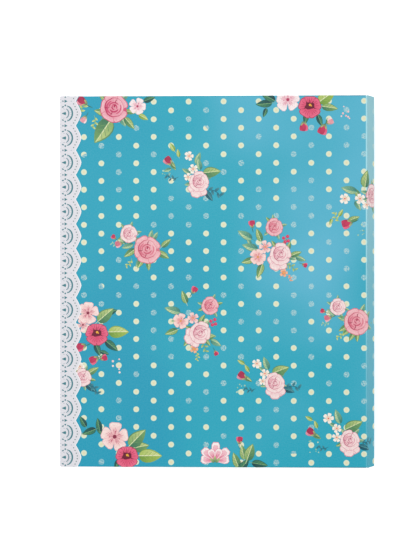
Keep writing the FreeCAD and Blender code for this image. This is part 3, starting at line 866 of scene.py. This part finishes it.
# one dictionary for each spray; each row is u, v, size, tone and turn
sprays = [
    {
        "leaf": [
            (34.7, 28.6, 21, "olive", -125), (56.2, 22.2, 11, "olive", -50), (33.9, 13.4, 12, "olive", 165),
            (67.4, 17.4, 8, "fresh", -30), (72.2, 3.0, 9, "dark", 20),
        ],
        "tendril": [(19.6, 11.8, 12, "fresh", 60), (26.8, 20.6, 10, "fresh", -100)],
        "bud": [(18.0, 4.6, 10, "maroon", 150), (19.6, 19.0, 7, "pink", -120)],
        "blossom": [(62.6, 8.6, 14, "white", 0)],
        "rose": [(43.9, 10.2, 23, "deep", 10)],
    },
    {
        "leaf": [
            (214.0, 1.4, 15, "fresh", 35), (216.4, 10.2, 12, "olive", -10), (163.8, 7.0, 12, "dark", 185),
            (167.0, 1.4, 12, "dark", 150), (164.6, 14.2, 7, "dark", -110), (197.2, 19.0, 9, "dark", -100),
            (208.4, 20.6, 9, "dark", -70),
        ],
        "sprinkle": [(228.3, 14.2, 7, "pink", 0)],
        "bud": [(195.6, 25.4, 9, "hot", -90), (210.8, 27.8, 10, "hot", -110), (216.4, 21.4, 7, "pink", 30)],
        "blossom": [(182.9, 3.8, 20, "white", 20)],
        "poppy": [(200.4, 9.4, 19, "hot", 0)],
    },
    {
        "leaf": [
            (91.3, 56.6, 7, "olive", -60), (111.2, 50.2, 9, "sage", 70), (112.0, 55.0, 9, "sage", 100),
            (101.6, 60.6, 7, "sage", 150), (122.4, 61.4, 13, "olive", 5), (120.0, 80.6, 9, "teal", -55),
            (90.5, 41.4, 7, "fresh", 120), (95.3, 46.2, 6, "fresh", 100), (86.5, 59.8, 6, "sage", 200),
        ],
        "tendril": [(123.2, 79.0, 14, "teal", -20), (90.5, 64.6, 10, "teal", 170)],
        "sprinkle": [(85.7, 62.2, 6, "green", 0)],
        "bud": [(87.3, 52.6, 9, "maroon", 135)],
        "blossom": [
            (104.0, 48.6, 8, "cream", 0), (107.2, 59.0, 8, "cream", 40), (103.2, 65.4, 7, "cream", 10),
        ],
        "skirt": [(112.0, 69.4, 17, "pale", -102)],
        "rose": [(112.0, 69.4, 16, "pale", 0)],
    },
    {
        "leaf": [
            (245.4, 67.0, 13, "olive", 80), (231.5, 75.8, 12, "sage", 165), (237.9, 78.2, 8, "olive", 120),
            (238.7, 88.6, 8, "sage", -60), (235.5, 99.0, 9, "olive", 20), (225.1, 94.2, 6, "fresh", 60),
            (217.2, 101.4, 5, "fresh", -110),
        ],
        "tendril": [(222.7, 97.4, 9, "fresh", 120)],
        "sprinkle": [(240.3, 107.8, 6, "green", 0)],
        "bud": [(229.9, 103.0, 10, "hot", -160)],
        "blossom": [
            (228.3, 83.0, 9, "cream", 0), (240.3, 83.0, 9, "cream", 30), (245.8, 87.8, 8, "cream", 0),
        ],
        "rose": [(253.8, 80.6, 18, "pale", 0)],
    },
    {
        "leaf": [
            (85.7, 118.2, 9, "olive", 40), (83.3, 127.8, 10, "olive", -30), (65.0, 134.2, 9, "olive", -120),
            (54.6, 120.6, 9, "sage", 200), (56.2, 126.2, 10, "olive", 215), (50.7, 115.8, 7, "sage", 120),
            (77.0, 112.6, 7, "sage", 60),
        ],
        "tendril": [(55.4, 133.4, 8, "fresh", 230), (45.1, 118.2, 7, "green", 170)],
        "bud": [(43.5, 113.4, 5, "hot", 140), (47.5, 119.0, 7, "coral", 200)],
        "rose": [(55.8, 111.0, 14, "pale", 0), (70.6, 123.8, 22, "coral", 20)],
    },
    {
        "leaf": [
            (148.6, 111.8, 12, "sage", 150), (159.8, 111.8, 10, "olive", 110),
            (152.6, 121.4, 12, "sage", 165), (151.0, 132.6, 10, "olive", 195),
            (160.6, 140.6, 11, "olive", -110), (189.3, 127.0, 9, "olive", 20),
            (193.3, 131.0, 8, "sage", -20), (183.7, 120.6, 7, "olive", 70), (151.8, 116.6, 6, "sage", 120),
        ],
        "tendril": [(184.5, 138.2, 10, "olive", -30), (183.7, 146.2, 6, "orange", -60)],
        "bud": [(154.2, 103.0, 7, "hot", 100), (196.4, 135.8, 5, "hot", -20)],
        "berries": [(181.3, 115.0, 7, "hot", 0)],
        "blossom": [
            (159.0, 129.4, 14, "blush", 0), (165.0, 121.4, 11, "blush", 30), (179.7, 142.2, 7, "orange", 0),
        ],
        "skirt": [(177.0, 127.4, 18, "pale", -112)],
        "rose": [(177.0, 127.4, 17.5, "pale", 0), (172.1, 105.8, 14, "coral", 0)],
    },
    {
        "leaf": [
            (37.1, 175.8, 15, "olive", 40), (41.9, 173.4, 9, "dark", 20), (47.5, 189.4, 15, "fresh", 0),
            (41.9, 200.6, 12, "dark", -40), (30.7, 203.8, 10, "dark", -70), (36.3, 206.2, 7, "dark", -20),
        ],
        "sprinkle": [(46.7, 216.6, 8, "pink", 0)],
        "bud": [(17.2, 201.4, 9, "hot", 200), (27.6, 211.8, 9, "hot", -150), (35.5, 210.2, 7, "hot", 20)],
        "blossom": [(22.8, 174.2, 19, "pink", 10), (18.8, 183.8, 12, "pink", 50)],
        "poppy": [(30.0, 191.0, 19, "hot", 0)],
    },
    {
        "leaf": [
            (90.5, 171.8, 12, "sage", 165), (94.5, 179.8, 9, "sage", 190), (89.7, 189.4, 10, "olive", 200),
            (100.1, 161.4, 10, "olive", 110), (114.4, 179.0, 8, "olive", 60),
            (102.4, 197.4, 8, "olive", 230), (125.5, 198.2, 9, "sage", -30), (121.6, 193.4, 7, "olive", 20),
        ],
        "tendril": [(114.4, 201.4, 10, "olive", -60), (109.6, 208.6, 7, "fresh", -90)],
        "bud": [(108.0, 155.8, 7, "hot", 60), (125.5, 206.2, 5, "hot", -60)],
        "berries": [(123.2, 181.4, 7, "hot", 0)],
        "blossom": [
            (97.3, 180.6, 13, "blush", 0), (107.2, 178.2, 10, "blush", 30), (108.0, 203.0, 7, "orange", 0),
        ],
        "skirt": [(112.8, 190.2, 18, "pale", -148)],
        "rose": [(112.8, 190.2, 17.5, "pale", -30), (120.8, 168.6, 14, "coral", 0)],
    },
    {
        "leaf": [
            (229.1, 178.2, 9, "sage", 200), (227.5, 186.2, 9, "olive", 210),
            (233.9, 192.6, 8, "olive", -120), (247.4, 175.8, 8, "sage", 50), (217.2, 173.4, 7, "sage", 140),
        ],
        "tendril": [(224.3, 191.0, 8, "fresh", 220), (213.2, 181.4, 7, "green", 190)],
        "bud": [(210.8, 172.6, 5, "hot", 160), (214.8, 178.2, 7, "coral", 200)],
        "rose": [(222.7, 169.4, 13, "pale", 0), (237.9, 181.4, 21, "coral", 20)],
    },
    {
        "leaf": [(26.8, 220.6, 10, "olive", 30), (25.2, 234.2, 10, "teal", -40)],
        "tendril": [(26.0, 235.8, 12, "teal", -40)],
        "blossom": [(16.4, 217.4, 8, "cream", 0)],
        "rose": [(18.8, 226.2, 14, "pale", 0)],
    },
    {
        "leaf": [
            (151.0, 227.0, 7, "olive", -30), (165.4, 214.2, 10, "sage", 110),
            (162.2, 219.0, 6, "sage", 150), (177.3, 219.8, 13, "olive", 20), (183.7, 235.8, 9, "teal", -20),
            (145.5, 213.4, 6, "fresh", 150), (150.2, 218.2, 6, "fresh", 120),
        ],
        "tendril": [(186.1, 235.0, 13, "teal", 0), (152.6, 234.2, 9, "teal", 175)],
        "sprinkle": [(145.5, 235.0, 6, "green", 0)],
        "bud": [(146.3, 224.6, 9, "maroon", 150)],
        "blossom": [
            (158.2, 214.6, 8, "cream", 0), (164.6, 222.6, 8, "cream", 40), (163.0, 228.6, 7, "cream", 10),
        ],
        "skirt": [(172.5, 230.2, 17, "pale", -85)],
        "rose": [(172.5, 230.2, 16, "pale", 15)],
    },
    {
        "leaf": [
            (62.6, 274.2, 17, "olive", 45), (65.0, 281.4, 13, "olive", 10), (73.0, 288.6, 17, "fresh", 0),
            (18.8, 261.4, 9, "dark", 120), (23.6, 269.4, 11, "dark", 200), (31.5, 263.8, 10, "dark", 100),
            (33.1, 269.4, 8, "dark", 150), (45.9, 295.8, 8, "dark", -110),
        ],
        "blossom": [(44.3, 273.4, 24, "pink", 10)],
        "poppy": [(54.2, 289.4, 19, "hot", 0)],
    },
    {
        "leaf": [
            (141.5, 291.8, 12, "olive", 110), (147.1, 285.4, 11, "olive", 100),
            (152.6, 285.4, 13, "olive", 70), (147.8, 295.8, 12, "dark", 50),
            (160.6, 295.0, 12, "dark", -10),
        ],
        "bud": [(144.3, 275.8, 7, "hot", 90)],
        "openflower": [(124.7, 288.6, 24, "rosy", 90)],
    },
    {
        "leaf": [
            (206.0, 272.6, 7, "olive", -30), (222.7, 256.6, 11, "sage", 110),
            (217.9, 263.0, 6, "sage", 150), (235.5, 263.8, 14, "olive", 25), (244.2, 281.4, 9, "teal", -20),
            (199.6, 258.2, 6, "fresh", 150), (205.2, 263.0, 6, "fresh", 110),
        ],
        "tendril": [(246.6, 279.0, 12, "teal", 10), (210.8, 280.6, 9, "teal", 175)],
        "sprinkle": [(203.6, 280.6, 7, "green", 0)],
        "bud": [(201.2, 269.4, 9, "maroon", 150)],
        "blossom": [
            (215.2, 258.2, 9, "cream", 0), (221.9, 266.2, 8, "cream", 40), (221.9, 273.4, 8, "cream", 10),
        ],
        "skirt": [(232.3, 275.8, 17, "pale", -90)],
        "rose": [(232.3, 275.8, 16, "pale", 10)],
    },
]


def cutFlat(bm, axis, value, clearBelow=False, clearAbove=False):
    plane, point = Vector((0.0, 0.0, 0.0)), Vector((0.0, 0.0, 0.0))
    plane[axis], point[axis] = 1.0, value
    geometry = list(bm.verts) + list(bm.edges) + list(bm.faces)
    bmesh.ops.bisect_plane(
        bm, geom=geometry, dist=1e-5, plane_co=point, plane_no=plane,
        clear_inner=clearBelow, clear_outer=clearAbove,
    )

# the print bends over an edge in this many steps and runs this far down the side
trimSizes = {"steps": 4, "down": 1.0}

def trimToCase(bm, lowU, highU, atFore, atEnd):
    radius, height, inset = sheet["edgeRadius"], sheet["height"], sheet["inset"]
    quarter = radius * math.pi / 2
    for count in range(trimSizes["steps"] + 1):
        step = quarter * count / trimSizes["steps"] - inset
        cutFlat(bm, 1, -radius + step)
        cutFlat(bm, 1, -height + radius - step)
        if atFore:
            cutFlat(bm, 0, radius - step)
        if atEnd:
            cutFlat(bm, 0, sheetLength - radius + step)
    past = quarter + trimSizes["down"] - inset
    cutFlat(bm, 1, -radius + past, clearAbove=True)
    cutFlat(bm, 1, -height + radius - past, clearBelow=True)
    cutFlat(bm, 0, lowU, clearBelow=True)
    cutFlat(bm, 0, highU, clearAbove=True)

# small leaves set round each large rose
extraLeaves = {"from": 12, "number": 5, "reach": 0.56, "size": 0.36, "tones": ("olive", "sage", "sage")}

def paintSprays(brush, lowU, highU, shift):
    for spray in sprays:
        brush.lift = layers["first"]
        for u, v, size, tone, turn in spray.get("rose", ()):
            if size > extraLeaves["from"] and lowU < u + shift < highU:
                for count in range(extraLeaves["number"]):
                    angle = 72 * count + chance.uniform(-25, 25)
                    place = turned(u + shift, -v, angle, size * extraLeaves["reach"], 0)
                    leafTone = chance.choice(extraLeaves["tones"])
                    paintLeaf(brush, *place, size * extraLeaves["size"], leafTone, angle)
        for kind, paint in painters.items():
            for u, v, size, tone, turn in sorted(spray.get(kind, ()), key=lambda row: row[2]):
                if lowU < u + shift < highU:
                    paint(brush, u + shift, -v, size, tone, turn)

# how far the print runs on past the sheet before it is trimmed
beyond = 3.0
lace = {
    "valley": 13.1,
    "tip": 17.6,
    "pitch": 19.7,
    "first": 14.2,
    "curve": 1.35,
    "scallops": 17,
    "rowsPerScallop": 16,
    "lift": 0.19,
    "rim": 0.75,
    "thread": "#E3E2E8",
    "edge": "#F6F6F8",
    "bold": "#43808A",
    "soft": "#7E9AA6",
    "faint": "#BFD0D8",
    "pin": "#6F8C88",
    "pinInset": 3.1,
    "pinSpread": 4.5,
    "pinRadius": 0.52,
    "outerArc": (5.2, 5.1, 6.1, 82, 15),
    "innerArc": (4.2, 3.2, 3.9, 72),
    "leaf": [(1.8, 0), (1.4, 1.4), (-1.6, 0.15), (-1.6, -0.15), (1.4, -1.4)],
    "wedge": [(1.7, 0), (-0.7, 1.3), (-0.7, -1.3)],
}

def laceEdge(v, inset=0.0):
    across = ((v - lace["first"]) / lace["pitch"] + 0.5) % 1.0 * 2 - 1
    return lace["valley"] + (lace["tip"] - lace["valley"]) * (1 - abs(across) ** lace["curve"]) - inset

def laceField(brush, inset, colour):
    brush.lift += layers["step"] * 4
    rows = lace["scallops"] * lace["rowsPerScallop"]
    made = bmesh.ops.create_grid(brush.bm, x_segments=2, y_segments=rows, size=1.0)
    for vert in made["verts"]:
        index = round((vert.co.y + 1) / 2 * rows)
        v = lace["first"] + lace["pitch"] * (lace["scallops"] - 1.5 - index / lace["rowsPerScallop"])
        share = (vert.co.x + 1) / 2
        vert[brush.tint] = colour
        vert.co = (-beyond + share * (laceEdge(v, inset) + beyond), -v, brush.lift)

def arcPoints(v, x, wide, tall, sweep, count=11):
    angles = [math.radians(-sweep + 2 * sweep * n / (count - 1)) for n in range(count)]
    return [(x + wide * math.cos(a), -v + tall * math.sin(a)) for a in angles]

def paintLace(brush):
    brush.lift = lace["lift"]
    bold, soft, faint, pin = [linear(lace[key]) for key in ("bold", "soft", "faint", "pin")]
    laceField(brush, 0.0, linear(lace["edge"]))
    laceField(brush, lace["rim"], linear(lace["thread"]))
    start = brush.lift
    half = lace["pitch"] / 2
    for scallop in range(-1, lace["scallops"] - 1):
        brush.lift = start
        v = lace["first"] + lace["pitch"] * scallop
        for count in range(8):
            share = (count - 3.5) / lace["pinSpread"]
            reach = laceEdge(v + share * half, lace["pinInset"])
            brush.disc(reach, -v - share * half, lace["pinRadius"], pin, 7)
        brush.line(arcPoints(v, *lace["outerArc"]), 1.25, bold)
        for angle in range(-70, 71, 20):
            ray = math.radians(angle)
            brush.disc(5.0 + 4.0 * math.cos(ray), -v + 4.9 * math.sin(ray), 0.42, faint, 7)
        brush.line(arcPoints(v, *lace["innerArc"]), 1.05, soft)
        brush.blob(lace["leaf"], bold, bold, 0, (3.5, -v), 0.0)
        for side in (1, -1):
            y = -v + side * 5.4
            brush.disc(4.6, y + side * 1.1, 0.7, bold)
            brush.line([(1.9, y - side * 0.5), (2.7, y - side * 0.1), (3.5, y + side * 0.3)], 1.15, bold)
            brush.line([(2.9, y - side * 1.5), (4.2, y - side * 2.0)], 0.6, soft)
        y = -v - half
        brush.blob(lace["wedge"], bold, bold, 0, (4.7, y), 0.0)
        brush.disc(2.7, y, 0.7, soft)
        brush.line([(8.9, y), (10.0, y)], 0.8, soft)
        for count in range(8):
            step = y + lace["pitch"] * (count + 0.5) / 8
            brush.line([(0.5, step), (1.35, step)], 0.55, soft if count in (0, 7) else faint)

def mirrorToBack(bm):
    for vert in bm.verts:
        vert.co.x = sheetLength - vert.co.x
    bmesh.ops.reverse_faces(bm, faces=list(bm.faces))


def lookUp(bm):
    bm.normal_update()
    down = [face for face in bm.faces if face.normal.z < 0]
    bmesh.ops.reverse_faces(bm, faces=down)
    flat = [face for face in bm.faces if face.calc_area() < 1e-7]
    bmesh.ops.delete(bm, geom=flat, context="FACES")


middle = folds[1] + spineWidth / 2
printSizes = {"spread": 25, "pastFold": 6.0, "laceReach": 30}
pastFront, beforeBack = folds[0] + printSizes["pastFold"], folds[3] - printSizes["pastFold"]
for name, part, lowU, highU, shift in (
    ("frontFlowers", 0, -beyond, pastFront, 0.0),
    ("frontSpineFlowers", 1, pastFront, middle, 0.0),
    ("backSpineFlowers", 2, middle, beforeBack, folds[3]),
    ("backFlowers", 3, beforeBack, sheetLength + beyond, folds[3]),
):
    brush = Brush()
    paintSprays(brush, lowU - printSizes["spread"], highU + printSizes["spread"], shift)
    lookUp(brush.bm)
    for side in (folds[part] - gap, folds[part], folds[part] + stripGap):
        cutFlat(brush.bm, 0, side)
    trimToCase(brush.bm, lowU, highU, part == 0, part == 3)
    lookUp(brush.bm)
    # a stretch that no flower reaches makes no piece
    if not brush.bm.faces:
        continue
    item = finishPiece(name, layOnCase(name, brush.bm, wraps=True), flowerInk)
    bendBetween(item, part)
    print(name, len(item.data.polygons))

for name, body, atBack in (("frontLace", "front_cover", False), ("backLace", "back_cover", True)):
    brush = Brush()
    paintLace(brush)
    if atBack:
        mirrorToBack(brush.bm)
    lookUp(brush.bm)
    reach = printSizes["laceReach"]
    low, high = (sheetLength - reach, sheetLength + beyond) if atBack else (-beyond, reach)
    trimToCase(brush.bm, low, high, not atBack, atBack)
    lookUp(brush.bm)
    item = finishPiece(name, layOnCase(name, brush.bm, wraps=True), laceInk, body)
    print(name, len(item.data.polygons))

# Made parts that keep their own shape: the first word found in the name gives finish and bevel in mm
finishes = {
    "hinge_lining": (cloth, 0.1),
    "card": (cards[0], 0.1),
    "sleeve": (film, 0.2),
    "lever": (nickel, 0.2),
    "rivet": (nickel, 0.2),
    "blade": (spring, 0.15),
    "plate": (nickel, 0.15),
    "lining": (liningPaper, 0.1),
    "ring": (nickel, 0.0),
    "board": (boardPaper, 0.0),
    "wrap": (boardPaper, 0.0),
}
bevelSizes = {"segments": 2, "angle": 40}

def dress(node, item):
    material, width = next(entry for word, entry in finishes.items() if word in node)
    if "card" in node:
        material = cards[int(node[-2:]) % len(cards)]
    item.data.materials.clear()
    item.data.materials.append(material)
    if width:
        edge = item.modifiers.new("softEdge", "BEVEL")
        edge.width = width * mm
        edge.segments = bevelSizes["segments"]
        edge.limit_method = "ANGLE"
        edge.angle_limit = math.radians(bevelSizes["angle"])

for node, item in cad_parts.items():
    dress(node, item)
print("parts dressed")

# Studio
studio = {
    "floorSize": 6.0,
    "floorLevel": -0.0005,
    "floorColour": "#FFFFFF",
    "floorGlow": 0.42,
    "sky": 0.5,
    "lampSize": 1.6,
    "lampPlace": (-0.35, 0.35, 1.9),
    "lampPower": 21.0,
    "cameraPlace": (-0.006, 0.0012, 0.845),
    "lens": 64.3,
}
bm = bmesh.new()
bmesh.ops.create_grid(bm, x_segments=1, y_segments=1, size=studio["floorSize"] / 2)
for vert in bm.verts:
    vert.co.z = studio["floorLevel"]
floorMesh = bpy.data.meshes.new("floor")
bm.to_mesh(floorMesh)
bm.free()
floor = bpy.data.objects.new("floor", floorMesh)
bpy.context.scene.collection.objects.link(floor)
floorMaterial = bpy.data.materials.new("matt white studio floor")
floorMaterial.use_nodes = True
floorShader = floorMaterial.node_tree.nodes["Principled BSDF"]
floorShader.inputs["Base Color"].default_value = linear(studio["floorColour"])
floorShader.inputs["Roughness"].default_value = 0.9
floorShader.inputs["Specular IOR Level"].default_value = 0.0
floorShader.inputs["Emission Color"].default_value = (1.0, 1.0, 1.0, 1.0)
floorShader.inputs["Emission Strength"].default_value = studio["floorGlow"]
floorMesh.materials.append(floorMaterial)

world = bpy.data.worlds.new("studio")
world.use_nodes = True
world.node_tree.nodes["Background"].inputs["Color"].default_value = (1.0, 1.0, 1.0, 1.0)
world.node_tree.nodes["Background"].inputs["Strength"].default_value = studio["sky"]
bpy.context.scene.world = world
lampData = bpy.data.lights.new("overhead softbox", "AREA")
lampData.shape = "DISK"
lampData.size = studio["lampSize"]
lampData.energy = studio["lampPower"]
lamp = bpy.data.objects.new("overhead softbox", lampData)
lamp.location = studio["lampPlace"]
bpy.context.scene.collection.objects.link(lamp)
cameraData = bpy.data.cameras.new("camera")
cameraData.lens = studio["lens"]
cameraData.sensor_width = 36.0
cameraData.clip_start = 0.01
camera = bpy.data.objects.new("camera", cameraData)
camera.location = studio["cameraPlace"]
bpy.context.scene.collection.objects.link(camera)
bpy.context.scene.camera = camera
bpy.context.scene.view_settings.view_transform = "Standard"
print("studio set")
